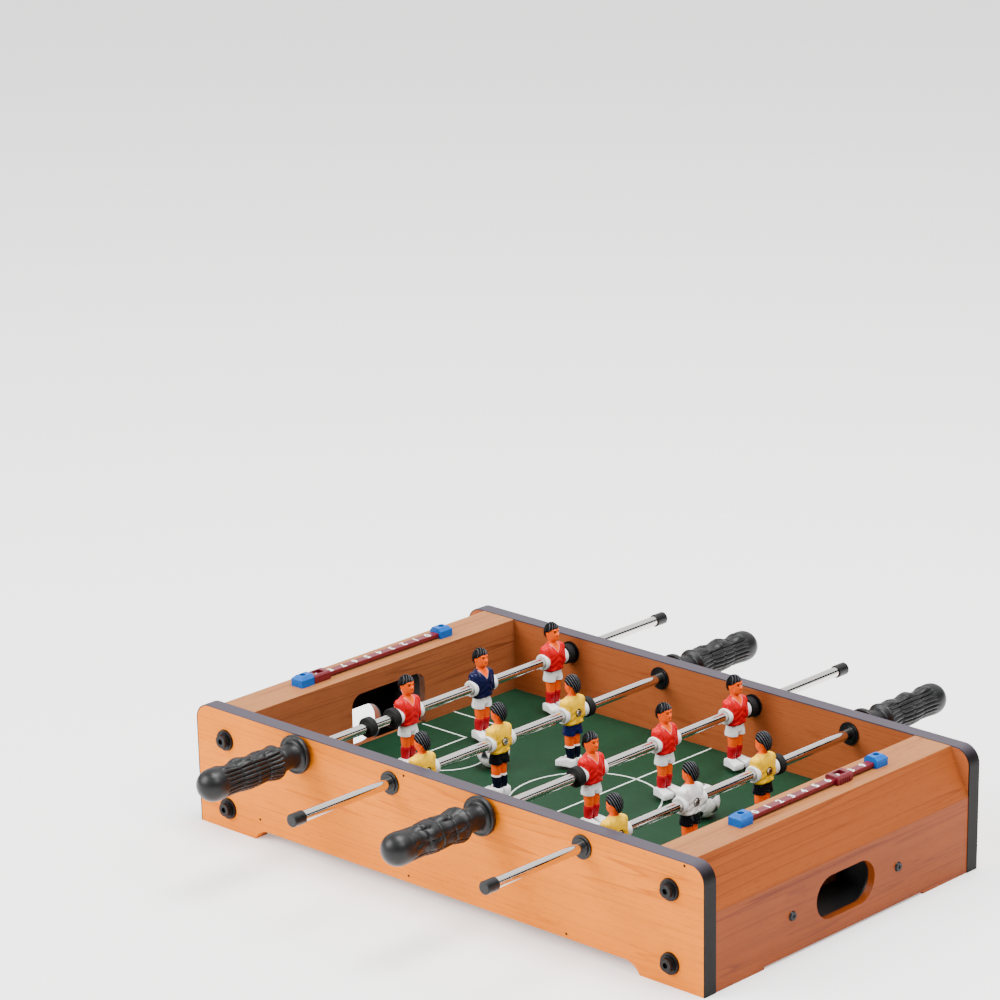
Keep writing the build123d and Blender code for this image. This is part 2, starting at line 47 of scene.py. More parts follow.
# shared helpers
def hexColour(code):
    # sRGB hex to linear light: c/12.92 near black, else ((c+0.055)/1.055) to the power 2.4
    channels = np.array([int(code[i:i + 2], 16) for i in (1, 3, 5)]) / 255
    linear = np.where(channels <= 0.04045, channels / 12.92, ((channels + 0.055) / 1.055) ** 2.4)
    return (*(float(value) for value in linear), 1.0)


def addNode(tree, kind, settings):
    # a key is an input, by name or number, or else the node's own property;
    # a socket given as a value is linked in
    node = tree.nodes.new(kind)
    for key, value in settings.items():
        if isinstance(value, bpy.types.NodeSocket):
            tree.links.new(value, node.inputs[key])
        elif isinstance(key, int) or key in node.inputs:
            node.inputs[key].default_value = value
        else:
            setattr(node, key, value)
    return node


def calc(tree, operation, *values):
    # one sum on numbers or sockets
    return addNode(tree, "ShaderNodeMath", {"operation": operation, **dict(enumerate(values))}).outputs[0]


def remap(tree, value, low, high, newLow=0.0, newHigh=1.0):
    # carries low..high to the new range and holds at its ends
    return addNode(tree, "ShaderNodeMapRange", {
        "Value": value, "From Min": low, "From Max": high, "To Min": newLow, "To Max": newHigh}).outputs[0]


def noise(tree, point, scale, detail, roughness=0.5):
    return addNode(tree, "ShaderNodeTexNoise", {
        "Vector": point, "Scale": scale, "Detail": detail, "Roughness": roughness}).outputs["Fac"]


def scaled(tree, point, scale, shift=(0, 0, 0)):
    return addNode(tree, "ShaderNodeMapping", {"Vector": point, "Scale": scale, "Location": shift}).outputs[0]


def split(tree, point):
    return addNode(tree, "ShaderNodeSeparateXYZ", {0: point}).outputs


def tint(tree, share, one, other, mode="MIX"):
    # the colour that lies the given share of the way; each end is a hex code, a linear colour or a socket
    one, other = (hexColour(colour) if isinstance(colour, str) else colour for colour in (one, other))
    return addNode(tree, "ShaderNodeMix", {
        "data_type": "RGBA", "blend_type": mode, 0: share, 6: one, 7: other}).outputs[2]


def relief(tree, height, strength, distance=0.2 * mm):
    return addNode(tree, "ShaderNodeBump", {
        "Height": height, "Strength": strength, "Distance": distance}).outputs[0]


def plug(tree, shader, patterns):
    for socket, source in patterns.items():
        tree.links.new(source, shader.inputs[socket])


def gloss(roughness, index, specular):
    return {"Roughness": roughness, "IOR": index, "Specular IOR Level": specular}


def startMaterial(name, finish):
    # a Principled surface whose uniform values sit straight on its own sockets,
    # and the point its patterns are drawn from: millimetres of the object's own space
    material = bpy.data.materials.new(name)
    material.use_nodes = True
    tree = material.node_tree
    shader = tree.nodes["Principled BSDF"]
    for socket, value in finish.items():
        shader.inputs[socket].default_value = value
    own = addNode(tree, "ShaderNodeTexCoord", {}).outputs["Object"]
    return material, tree, shader, scaled(tree, own, (1 / mm, 1 / mm, 1 / mm))


def throughKeys(keys, where):
    # smooth curve through keys: cubic between neighbours, the slope at a key taken from its two neighbours
    keys = np.array(keys, float)
    at, values = keys[:, 0], keys[:, 1:]
    slopes = np.gradient(values, at, axis=0)
    i = np.clip(np.searchsorted(at, where) - 1, 0, len(at) - 2)
    span = (at[i + 1] - at[i])[..., None]
    t = (where - at[i])[..., None] / span
    return ((2 * t**3 - 3 * t**2 + 1) * values[i] + (t**3 - 2 * t**2 + t) * span * slopes[i]
            + (3 * t**2 - 2 * t**3) * values[i + 1] + (t**3 - t**2) * span * slopes[i + 1])


def bump(value, centre, width):
    # bell curve: 1 at the centre, falling off over the width
    return np.exp(-((value - centre) / width) ** 2)


def ease(value, low, high):
    # smooth step from 0 below low to 1 above high
    t = np.clip((value - low) / (high - low), 0, 1)
    return t * t * (3 - 2 * t)


def gridFaces(grid, ring):
    # quads between neighbouring rows, closed round the columns; a ring also joins its last row to its first,
    # and any other shell has each end fanned to a pole at that end's middle
    rows, columns = grid.shape[:2]
    points = grid.reshape(-1, 3)
    r, c = np.meshgrid(np.arange(rows if ring else rows - 1), np.arange(columns), indexing="ij")
    below, above, following = r * columns, (r + 1) % rows * columns, (c + 1) % columns
    quads = np.stack([below + c, below + following, above + following, above + c], -1).reshape(-1, 4)
    if ring:
        return points, quads, np.zeros((0, 3), int)
    points = np.vstack([points, grid[0].mean(0), grid[-1].mean(0)])
    c = np.arange(columns)
    following = (c + 1) % columns
    pole, last = np.full(columns, rows * columns), (rows - 1) * columns
    fans = np.vstack([
        np.stack([pole, following, c], -1),
        np.stack([pole + 1, last + c, last + following], -1)])
    return points, quads, fans


def around(count):
    # evenly spaced angles once round, in radians
    return np.arange(count) / count * 2 * np.pi


def addToScene(name, data):
    thing = bpy.data.objects.new(name, data)
    bpy.context.scene.collection.objects.link(thing)
    return thing


def addVectors(mesh, name, values):
    layer = mesh.attributes.new(name, "FLOAT_VECTOR", "POINT")
    layer.data.foreach_set("vector", values.astype(np.float32).ravel())


def makePiece(name, shells, materials, place=lambda points: points, space=None, sharp=40):
    # joins shells, given in mm, into one mesh; a shell with negative signed volume is turned to face outwards
    points, corners, sizes, slots, count = [], [], [], [], 0
    for shell in shells:
        grid, ring, slot = shell["grid"], shell.get("ring", False), shell.get("slot", 0)
        p, quads, fans = gridFaces(grid, ring)
        halves = np.vstack([quads[:, [0, 1, 2]], quads[:, [0, 2, 3]], fans])
        moved = place(p)
        one, two, three = (moved[halves[:, corner]] for corner in (0, 1, 2))
        volume = (one * np.cross(two, three)).sum()
        if volume < 0:
            quads, fans = quads[:, ::-1], fans[:, ::-1]
        rowSlot = np.broadcast_to(slot, (len(quads) // grid.shape[1],))
        slots += [np.repeat(rowSlot, grid.shape[1])]
        slots += [np.repeat(rowSlot[[0, -1]], grid.shape[1])] if len(fans) else []
        points.append(p)
        corners += [(quads + count).ravel(), (fans + count).ravel()]
        sizes += [np.full(len(quads), 4), np.full(len(fans), 3)]
        count += len(p)
    points, corners, sizes = np.vstack(points), np.concatenate(corners), np.concatenate(sizes)
    mesh = bpy.data.meshes.new(name)
    mesh.vertices.add(len(points))
    mesh.vertices.foreach_set("co", (place(points) * mm).astype(np.float32).ravel())
    mesh.loops.add(len(corners))
    mesh.loops.foreach_set("vertex_index", corners.astype(np.int32))
    mesh.polygons.add(len(sizes))
    mesh.polygons.foreach_set("loop_start", (np.cumsum(sizes) - sizes).astype(np.int32))
    mesh.polygons.foreach_set("material_index", np.concatenate(slots).astype(np.int32))
    mesh.polygons.foreach_set("use_smooth", np.ones(len(sizes), bool))
    mesh.update(calc_edges=True)
    mesh.validate()
    if space:
        addVectors(mesh, space, points)
    mesh.set_sharp_from_angle(angle=math.radians(sharp))
    for material in materials:
        mesh.materials.append(material)
    return addToScene(name, mesh)


def dress(material, *names):
    # gives carried-over parts their finish
    for name in names:
        mesh = nodes[name].data
        mesh.materials.clear()
        mesh.materials.append(material)


# wood-grain foil on fibreboard: printed paper under a satin varnish, so the figure is soft and the gloss even
foil = {
    "lineSpacing": 3.4,      # between the dark growth lines
    "lineLength": 420.0,     # how far a line runs before it wanders
    "poreWidth": 0.7,        # real pores are 0.1 wide, drawn coarser so that they show
    "poreLength": 9.0,
    "rings": 13.0,           # growth lines over the slow noise's whole range
    # place within a ring and darkness: it deepens slowly, peaks and stops short
    "ring": ((0.0, 0.0), (0.8, 0.35), (0.93, 1.0), (1.0, 0.0)),
    "faintLine": 0.15,
    "poreStrength": 0.34,
    "patchScale": 0.012,
}


def boardFoil(name, along, tones, finish):
    # growth lines are level lines of a slow noise stretched along the grain; pores are a fine stretched noise
    material, tree, shader, point = startMaterial(name, finish)
    grain = "XYZ".index(along)
    slowScale, fineScale = [0.32 / foil["lineSpacing"]] * 3, [1 / foil["poreWidth"]] * 3
    slowScale[grain], fineScale[grain] = 1 / foil["lineLength"], 1 / foil["poreLength"]
    slow = scaled(tree, point, slowScale, tones["shift"])
    rings = calc(tree, "MULTIPLY", noise(tree, slow, 0.55, 2.0, 0.45), foil["rings"])
    ramp = addNode(tree, "ShaderNodeValToRGB", {0: calc(tree, "FRACT", rings)})
    marks = ramp.color_ramp.elements
    for index, (position, level) in enumerate(foil["ring"]):
        mark = marks[index] if index < 2 else marks.new(position)   # a new ramp has two marks
        mark.position, mark.color = position, (level, level, level, 1)
    # a second slow noise lets the lines fade in and out
    strength = remap(tree, noise(tree, slow, 0.9, 1.0), 0.35, 0.7, foil["faintLine"], tones["lines"])
    line = calc(tree, "MULTIPLY", ramp.outputs[0], strength)
    pore = noise(tree, scaled(tree, point, fineScale), 1.0, 3.0, 0.6)
    dash = remap(tree, pore, 0.56, 0.74, 0.0, foil["poreStrength"])
    # broad patches where the print is a little paler or redder
    patch = remap(tree, noise(tree, point, foil["patchScale"], 2.0), 0.3, 0.7)
    tone = tint(tree, patch, tones["base"], tones["patch"])
    y, z = split(tree, point)[1:]
    if "inside" in tones:
        # the faces that look into the table are given a darker, redder colour
        outside = calc(tree, "GREATER_THAN", calc(tree, "ABSOLUTE", y), tones["insideLimit"])
        tone = tint(tree, outside, tones["inside"], tone)
    # slopes and flat tops are painted paler, a painted sheen for the light they catch, more so the flatter
    # they lie
    for above, colour in tones.get("paintedSheen", ()):
        tone = tint(tree, calc(tree, "GREATER_THAN", z, above), tone, colour)
    for share in (line, dash):
        tone = tint(tree, share, tone, tones["line"], "MULTIPLY")
    # the pores break the varnish slightly
    rough = remap(tree, pore, 0.0, 1.0, finish["Roughness"] - 0.05, finish["Roughness"] + 0.12)
    plug(tree, shader, {"Base Color": tone, "Roughness": rough, "Normal": relief(tree, pore, 0.10)})
    return material


satinVarnish, dullVarnish = gloss(0.4, 1.5, 0.14), gloss(0.5, 1.5, 0.06)
longFoil = boardFoil("beech print foil, long panels", "X", {
    "base": "#E27C06", "patch": "#D87404", "inside": "#9C542C", "insideLimit": 149.0,
    "line": "#A8663C", "lines": 0.5, "shift": (0.0, 3.0, 7.0)}, dullVarnish)
# on the end boards the paler colours from 60.6 mm and from 96.2 mm up are a painted sheen on the slopes and
# flat tops
endFoil = boardFoil("beech print foil, end boards", "Y", {
    "base": "#823A06", "patch": "#783404", "paintedSheen": ((60.6, "#88441C"), (96.2, "#9C6438")),
    "line": "#8E5330", "lines": 0.7, "shift": (5.0, 1.0, 2.0)}, satinVarnish)
goalFoil = boardFoil("beech print foil, goal walls", "Y", {
    "base": "#9C5A34", "patch": "#90522E",
    "line": "#7A4226", "lines": 0.6, "shift": (2.0, 9.0, 4.0)}, satinVarnish)
dress(longFoil, "front_panel", "back_panel")
dress(endFoil, "left_end_casing", "right_end_casing")
dress(goalFoil, "left_goal_wall", "right_goal_wall")
print("board foils done")


# other sheet and block materials
def speckled(name, colours, finish, grain, depth=0.0, stretch=(1, 1, 1), paintedTopSheen=None):
    # two tones mixed by a noise of the given grain in mm, with a matching change in gloss and a faint relief;
    # the last argument is a paler colour that comes in between two heights, a painted sheen on the top faces
    material, tree, shader, point = startMaterial(name, finish)
    fleck = noise(tree, scaled(tree, point, [value / grain for value in stretch]), 1.0, 4.0, 0.55)
    tone = tint(tree, remap(tree, fleck, 0.32, 0.68), *colours)
    if paintedTopSheen:
        colour, low, high = paintedTopSheen
        sheenShare = calc(tree, "POWER", remap(tree, split(tree, point)[2], low, high), 3.0)
        tone = tint(tree, sheenShare, tone, colour)
    rough = remap(tree, fleck, 0.0, 1.0, finish["Roughness"] - 0.06, finish["Roughness"] + 0.08)
    plug(tree, shader, {"Base Color": tone, "Roughness": rough})
    if depth:
        plug(tree, shader, {"Normal": relief(tree, fleck, depth)})
    return material


# extruded PVC edging: dark grey-brown, a satin skin drawn along its length
# the paler colour from 86 mm up to the top is a painted sheen on the band's top faces
edgeBand = speckled(
    "satin PVC edging", ("#0C0909", "#120E0E"), gloss(0.34, 1.53, 0.08), 6.0, 0.12,
    stretch=(0.15, 1, 1), paintedTopSheen=("#423C44", 86, 96.6))
# screen-printed hardboard: an even dark green ink with a faint orange peel
greenBoard = speckled(
    "screen-printed green hardboard", ("#112E1C", "#153622"), gloss(0.55, 1.5, 0.1), 3.0, 0.25)
# sawn softwood: pale, matt, with its grain along the strip
rawWood = speckled("sawn pine", ("#C9A87C", "#B08C60"), {"Roughness": 0.8}, 1.5, 0.5, (1, 1, 0.08))
# injection-moulded black nylon: satin, slightly grey where light rakes it
blackPlastic = speckled("moulded black nylon", ("#08080A", "#0E0E10"), gloss(0.34, 1.53, 0.25), 2.0, 0.15)
# goal boxes: thin black styrene, a little duller
boxPlastic = speckled("vacuum-formed black styrene", ("#0A0A0B", "#101011"), gloss(0.5, 1.59, 0.2), 5.0, 0.1)
# bumpers and the loose ring: foamed black rubber, matt
foamRubber = speckled("foamed black rubber", ("#070708", "#0E0E0F"), gloss(0.72, 1.52, 0.25), 0.8, 0.6)
# blackened steel screws: dark, soft metallic shine
blackSteel = speckled(
    "blackened steel", ("#141416", "#202022"),
    {"Roughness": 0.36, "Metallic": 0.6, "Specular IOR Level": 0.3}, 1.2, 0.2)
# zinc-plated screws
zincSteel = speckled(
    "zinc-plated steel", ("#B4B2AE", "#D8D6D2"), {"Roughness": 0.2, "Metallic": 1.0}, 1.0, 0.15)
# score rails and sliders: glossy moulded polystyrene in maroon
maroonPlastic = speckled(
    "moulded maroon polystyrene", ("#5A0818", "#68101F"), gloss(0.3, 1.59, 0.3), 4.0, 0.08)
# rail ends: bright blue moulded polystyrene
bluePlastic = speckled("moulded blue polystyrene", ("#004E9C", "#0258A8"), gloss(0.34, 1.59, 0.14), 3.0, 0.08)
dress(edgeBand, "front_edge_band", "back_edge_band")
dress(greenBoard, "playfield")
dress(rawWood, "corner_blocks")
dress(boxPlastic, "left_goal_box", "right_goal_box")
dress(blackPlastic, "rod_bushings", "bushing_retainers", *(f"rod_{k}_cap" for k in (1, 2, 3, 4)))
dress(foamRubber, "rod_1_loose_ring", *(f"rod_{k}_bumpers" for k in (1, 2, 3, 4)))
dress(blackSteel, "panel_bolts", "bolt_washers", "goal_box_screws")
dress(zincSteel, "score_rail_screws", *(f"rod_{k}_player_screws" for k in (1, 2, 3, 4)))
dress(maroonPlastic, "left_score_rail", "right_score_rail", "left_score_marker", "right_score_marker")
dress(bluePlastic, "score_end_blocks")


# rods: drawn steel tube, bright chromed: mirror with faint lengthwise drawing lines and a few dull rubs
def chromeTube():
    finish = {"Metallic": 1.0, "Roughness": 0.08}
    material, tree, shader, point = startMaterial("chromed drawn steel tube", finish)
    lines = noise(tree, scaled(tree, point, (0.9, 0.01, 0.9)), 1.0, 3.0)
    rubs = noise(tree, point, 0.12, 3.0)
    plug(tree, shader, {
        "Base Color": tint(tree, lines, "#C4BFBA", "#EDEAE6"),
        "Roughness": remap(tree, rubs, 0.45, 0.75, 0.09, 0.2)})
    return material


chrome = chromeTube()
print("frame finishes done")


# where each rod stands
rods = {}
for number in (1, 2, 3, 4):
    low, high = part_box(f"rod_{number}_tube")
    rods[number] = {
        "x": (low.x + high.x) / 2 / mm,
        "z": (low.z + high.z) / 2 / mm,
        "grip": -1 if number in (1, 3) else 1,
        "facing": 1 if number in (1, 3) else -1,
    }


# tubes: a wall of constant thickness turned about the rod, with columns fine enough for a straight streak
tube = {"radius": 4.0, "bore": 3.2, "columns": 120}
for number, rod in rods.items():
    low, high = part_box(f"rod_{number}_tube")
    ends = np.array([low.y, high.y, high.y, low.y]) / mm
    walls = np.array([tube["radius"], tube["radius"], tube["bore"], tube["bore"]])
    turn = around(tube["columns"])
    x, z = (rod[key] + walls[:, None] * wave(turn) for key, wave in (("x", np.cos), ("z", np.sin)))
    grid = np.stack([x, ends[:, None] + 0 * turn, z], -1)
    steel = makePiece(f"tube_{number}", [{"grid": grid, "ring": True}], [chrome])
    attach(steel, f"rod_{number}")
    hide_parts(f"rod_{number}_tube")
print("tubes done")


# grips: soft black rubber over the rod's end, ribbed, with broad lumps along one side
grip = {
    "rows": 230, "columns": 192,
    # distance along the rod and radius, from the rounded outer end to the flange with its raised lip
    "profile": [
        (0.0, 0.4), (0.1, 1.8), (0.7, 4.2), (2.2, 7.2), (4.6, 9.8), (8.5, 11.8), (13, 12.4), (18, 12.1),
        (24, 11.8), (31, 11.7), (40, 12.5), (47, 12.7), (55, 12.1), (61, 11.8), (67, 12.8), (71.5, 13.4),
        (74.2, 12.7), (75.2, 11.0), (76, 9.8), (80, 9.6), (89.5, 9.5), (91.6, 10.0), (92.6, 11.2),
        (92.9, 12.8), (92.4, 13.9), (92.7, 14.7), (93.7, 15.0), (95.6, 15.0), (96.4, 14.7), (96.5, 14.0)],
    "ribs": 22, "ribDepth": 1.9, "ringDepth": 0.9, "ringWidth": 0.55, "rings": (33, 47, 60),
    "facets": 7, "creaseDepth": 1.3, "lump": 0.95, "lumpPitch": 21, "broadHalfAngle": 66, "broadFade": 9,
    "broadAt": {1: 128, 2: 122, 3: 38, 4: 134},   # where round the rod the broad side lies, degrees from +X
}


def gripGrid(broadAt):
    # radius = lathe profile along the rod, less round-bottomed grooves between ribs, less three ring grooves;
    # on the broad side the ribs give way to flat facets whose crowns rise and fall along the rod
    profile = np.array(grip["profile"])
    walked = np.concatenate([[0], np.cumsum(np.linalg.norm(np.diff(profile, axis=0), axis=1))])
    s, r = throughKeys(np.column_stack([walked, profile]), np.linspace(0, walked[-1], grip["rows"])).T
    s, a = np.meshgrid(s, around(grip["columns"]), indexing="ij")
    r = np.broadcast_to(r[:, None], s.shape)
    off = np.abs((a - math.radians(broadAt) + np.pi) % (2 * np.pi) - np.pi)
    half, fade = math.radians(grip["broadHalfAngle"]), math.radians(grip["broadFade"])
    broad = 1 - ease(off, half - fade, half + fade)
    body = ease(s, 15, 22) * (1 - ease(s, 70, 74))
    ribbed = 1 - np.abs(np.sin(a * grip["ribs"] / 2)) ** 0.55
    step = 2 * np.pi / grip["facets"]
    turn = (a - math.radians(broadAt)) / step
    # each facet's crowns start at another place along the rod
    along = np.sin(2 * np.pi * (s - 12) / grip["lumpPitch"] + 1.3 * np.sin(np.floor(turn + 0.5) * 2.1))
    crease = 1 - np.abs(np.sin(np.pi * (turn + 0.5 + 0.10 * along))) ** 0.45
    facet = grip["creaseDepth"] * crease - grip["lump"] * along * (1 - crease)
    cut = (1 - broad) * grip["ribDepth"] * ribbed + broad * facet
    # the ring grooves wander a little as they go round
    rings = sum(bump(s, at + 0.9 * np.sin(2 * a + at), grip["ringWidth"]) for at in grip["rings"])
    r = r - body * cut - grip["ringDepth"] * rings * (1 - ease(s, 66, 70))
    return s, a, r


def gripRubber():
    # moulded thermoplastic rubber: near black, dull, greyer where it has been handled
    material, tree, shader, point = startMaterial("moulded thermoplastic rubber", gloss(0.4, 1.5, 0.3))
    fine, wear = noise(tree, point, 2.2, 3.0), noise(tree, point, 0.12, 3.0)
    plug(tree, shader, {
        "Base Color": tint(tree, wear, "#050506", "#0C0C0E"),
        "Roughness": remap(tree, fine, 0.0, 1.0, 0.28, 0.48),
        "Normal": relief(tree, fine, 0.3)})
    return material


rubber = gripRubber()
for number, rod in rods.items():
    low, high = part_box(f"rod_{number}_handle")
    outer = (low.y if rod["grip"] < 0 else high.y) / mm
    s, a, r = gripGrid(grip["broadAt"][number])
    grid = np.stack([rod["x"] + r * np.cos(a), outer - rod["grip"] * s, rod["z"] + r * np.sin(a)], -1)
    handle = makePiece(f"grip_{number}", [{"grid": grid}], [rubber], sharp=60)
    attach(handle, f"rod_{number}")
    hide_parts(f"rod_{number}_handle")
print("grips done")


# players: glossy moulded polystyrene, each colour a separate moulding or spray
figure = {
    # height, forward shift, sideways shift, half depth, half width
    "trunk": [
        (-8.9, 0.2, 0, 5.0, 7.8), (-8.3, 0.2, 0, 5.9, 8.7), (-5, 0.3, 0, 6.4, 9.0), (0, 0.4, 0, 6.9, 9.2),
        (5, 0.2, 0, 6.9, 9.7), (8.5, -0.1, 0, 6.2, 9.9), (11.2, -0.3, 0, 5.1, 8.4),
        (13.0, -0.4, 0, 4.1, 5.6), (14.0, -0.4, 0, 3.4, 3.9)],
    "sleeve": [
        (12.6, -0.3, 6.7, 1.6, 1.6), (12.0, -0.2, 7.2, 3.0, 2.6), (10.2, -0.1, 8.2, 4.2, 3.1),
        (7, 0.1, 8.5, 4.8, 2.8), (3.5, 0.2, 8.5, 5.3, 2.6), (0.5, 0.3, 8.4, 5.9, 2.4),
        (-3.5, 0.3, 8.2, 5.6, 2.1), (-6.2, 0.3, 7.6, 3.6, 1.6)],
    "hips": [
        (-7.4, 0.1, 0, 4.4, 7.0), (-8.4, 0.1, 0, 5.0, 7.7), (-11, 0.1, 0, 5.2, 8.0),
        (-14.2, 0.1, 0, 5.2, 8.0), (-15.6, 0.1, 0, 4.4, 7.2)],
    "shortLeg": [
        (-10, 0.1, 3.8, 4.6, 3.6), (-13, 0.1, 3.9, 5.2, 4.1), (-16.6, 0.1, 4.0, 5.5, 4.2),
        (-17.3, 0.1, 4.0, 5.2, 4.0), (-17.5, 0.1, 4.0, 4.2, 3.4)],
    "leg": [
        (-15.5, 0.1, 3.3, 3.9, 3.5), (-20, 0.3, 3.2, 3.9, 3.45), (-24, 0.4, 3.2, 3.7, 3.3),
        (-26.3, 0.4, 3.15, 3.55, 3.15), (-26.8, 0.4, 3.15, 3.8, 3.35), (-30, -0.1, 3.15, 3.95, 3.3),
        (-34, -0.4, 3.2, 3.5, 3.0), (-37, -0.4, 3.3, 3.2, 2.9), (-39.5, -0.4, 3.5, 3.3, 3.0)],
    "head": [
        (12.4, -0.4, 0, 3.6, 3.8), (14.6, -0.3, 0, 3.1, 3.2), (16.0, 0.2, 0, 3.6, 3.4),
        (17.0, 0.6, 0, 4.6, 3.8), (18.6, 0.6, 0, 5.2, 4.3), (21, 0.3, 0, 5.5, 4.7),
        (24, 0.1, 0, 5.5, 4.9), (26.5, -0.1, 0, 4.9, 4.5), (28.4, -0.2, 0, 3.2, 3.0),
        (29.2, -0.2, 0, 1.2, 1.1)],
    # place along the rod and distance from it
    "cuff": [
        (8.6, 4.15), (8.6, 6.0), (9.4, 6.3), (10.6, 6.4), (11.6, 6.5), (12.3, 6.4), (12.6, 6.0),
        (12.5, 5.4), (11.9, 5.0), (11.7, 4.15)],
    # along the foot: height of its middle, sideways shift, half height, half width
    "boot": [
        (-5.5, -40.9, 0, 2.0, 2.0), (-5.2, -40.4, 0, 2.75, 2.7), (-3.5, -39.9, 0, 3.3, 3.2),
        (0.5, -39.5, 0, 3.7, 3.5), (3.0, -39.8, 0, 3.4, 3.9), (6.5, -40.3, 0, 2.9, 4.5),
        (9.4, -40.6, 0, 2.6, 4.9), (9.9, -40.65, 0, 2.4, 4.7), (10.1, -40.7, 0, 1.8, 4.1)],
    "bootTurn": 10, "bootY": 4.3, "sole": -43.15, "sockTop": -26.5,
    # how far the face is pushed out, sideways place and width, height and its width
    "features": [(1.5, 0, 0.85, 21.2, 1.3), (-0.65, 2.0, 1.0, 23.2, 0.9), (0.45, 1.9, 1.5, 24.9, 0.7),
                 (-0.4, 0, 1.5, 19.2, 0.4), (0.35, 0, 1.3, 18.5, 0.45), (0.5, 0, 1.7, 17.3, 0.8)],
    "skull": (5.75, 5.15, 7.6), "skullMiddle": (-0.4, 0, 22.2),
    # degrees from the crown, by azimuth
    "hairline": [(0, 60), (35, 62), (60, 72), (85, 82), (110, 86), (130, 96), (150, 122), (180, 142)],
    "ridgePitch": 1.9, "ridgeHeight": 0.8, "comb": (0.42, 1.0, -0.42),
}


def sections(keys, rows, columns, power=2.3, shift=1):
    # superellipses stacked along the first axis: depth and width follow smooth curves through the keys,
    # and cosine and sine are raised to 2/power, which squares the outline as the power grows
    keys = sorted(keys)
    height = np.linspace(keys[0][0], keys[-1][0], rows)
    x0, y0, halfX, halfY = throughKeys(keys, height).T[:, :, None]
    c, s = np.cos(around(columns))[None, :], np.sin(around(columns))[None, :]
    x = x0 + halfX * np.sign(c) * np.abs(c) ** (2 / power)
    y = shift * y0 + halfY * np.sign(s) * np.abs(s) ** (2 / power)
    return np.stack([x, y, np.broadcast_to(height[:, None], x.shape)], -1)


def trunkGrid():
    # stacked sections, with soft drapes of the cloth pushed in and out along the outline
    grid = sections(figure["trunk"], 40, 56, 2.5)
    x, y, z = grid[..., 0], grid[..., 1], grid[..., 2]
    front = np.sign(x)
    side = np.abs(y)
    drape = 0.28 * np.sin(1.25 * z + 0.9 * side) * (1 - ease(z, 1, 8))
    drape -= 0.35 * bump(side, 7.6, 1.2) * ease(z, -3, 5)
    chest = 0.5 * bump(side, 3.8, 2.6) * bump(z, 6.5, 2.6) * (front > 0)
    chest -= 0.45 * bump(y, 0, 1.5) * bump(z, 5, 5)
    grid[..., 0] = x + front * (drape + chest) * ease(np.abs(x), 0.5, 3)
    return grid


def headGrid():
    # stacked sections, with nose, eye hollows, brow, mouth, lip, chin and ears added as bell curves
    grid = sections(figure["head"], 60, 72, 2.2)
    x, y, z = grid[..., 0].copy(), grid[..., 1].copy(), grid[..., 2]
    face, side = ease(x, 0.5, 3.5), np.abs(y)
    for push, across, width, height, tall in figure["features"]:
        grid[..., 0] += face * push * bump(side, across, width) * bump(z, height, tall)
    ears = 0.9 * bump(x, -0.6, 1.1) * bump(z, 21.8, 1.7) - 0.5 * bump(x, -0.5, 0.5) * bump(z, 22, 0.9)
    grid[..., 1] += np.sign(y) * ears
    return grid


def hairGrid():
    # a cap: from the crown out to the hairline, then back inside the skull; combed ridges are creases across
    # lines that run backwards and down
    azimuth = around(72)
    fromFront = np.degrees(np.abs((azimuth + np.pi) % (2 * np.pi) - np.pi))
    limit = np.radians(throughKeys(figure["hairline"], fromFront)[..., 0])
    out = np.concatenate([np.linspace(0.02, 1, 44), [1.02], np.linspace(1, 0.02, 8)])
    lift = np.concatenate([np.full(42, 0.72), [0.6, 0.3, -0.3], np.full(8, -1.5)])
    t, lift = out[:, None] * limit[None, :], lift[:, None]
    ray = np.stack([np.sin(t) * np.cos(azimuth), np.sin(t) * np.sin(azimuth), np.cos(t)], -1)
    scalp = figure["skullMiddle"] + ray * figure["skull"]
    ridge = np.abs(np.cos(np.pi * (scalp @ figure["comb"]) / figure["ridgePitch"])) ** 0.7 - 0.5
    ridge = figure["ridgeHeight"] * ridge * (lift > 0.4)
    quiff = 0.5 * bump(azimuth, 0, 0.9) + 0.5 * bump(azimuth, 2 * np.pi, 0.9)
    reach = lift + ridge + quiff[None, :] * ease(t, 0.5, 0.9) * (lift > 0)
    return scalp + ray * reach[..., None] * (1, 1, 0.9)


def cuffGrid(side):
    # the cuff's outline turned about the rod
    outline = np.array(figure["cuff"])
    r, a = np.meshgrid(outline[:, 1], around(48), indexing="ij")
    y = np.broadcast_to(side * outline[:, :1], r.shape)
    return np.stack([r * np.cos(a), y, r * np.sin(a)], -1)


def bootGrid(side):
    # boxy sections laid along the foot, which is then turned outwards about the ankle
    z, y, x = np.moveaxis(sections(figure["boot"], 26, 40, 5.0), -1, 0)
    turn = math.radians(figure["bootTurn"]) * side
    turnedX, turnedY = x * math.cos(turn) - y * math.sin(turn), x * math.sin(turn) + y * math.cos(turn)
    return np.stack([turnedX, side * figure["bootY"] + turnedY, np.maximum(z, figure["sole"])], -1)


# slots of a player's mesh: shirt, shorts, skin, socks, boots, hair
def figureShells():
    shells = [
        {"grid": trunkGrid(), "slot": 0},
        {"grid": sections(figure["hips"], 14, 48, 2.4), "slot": 1},
        {"grid": headGrid(), "slot": 2},
        {"grid": hairGrid(), "slot": 5},
    ]
    for side in (-1, 1):
        leg = sections(figure["leg"], 44, 32, 2.1, side)
        bare = leg[:-1, 0, 2] > figure["sockTop"]
        shells += [
            {"grid": sections(figure["sleeve"], 26, 36, 2.2, side), "slot": 0},
            {"grid": cuffGrid(side), "slot": 4, "ring": True},
            {"grid": sections(figure["shortLeg"], 16, 36, 2.2, side), "slot": 1},
            {"grid": leg, "slot": np.where(bare, 2, 3)},
            {"grid": bootGrid(side), "slot": 4},
        ]
    return shells


figureGloss = gloss(0.2, 1.59, 0.1)


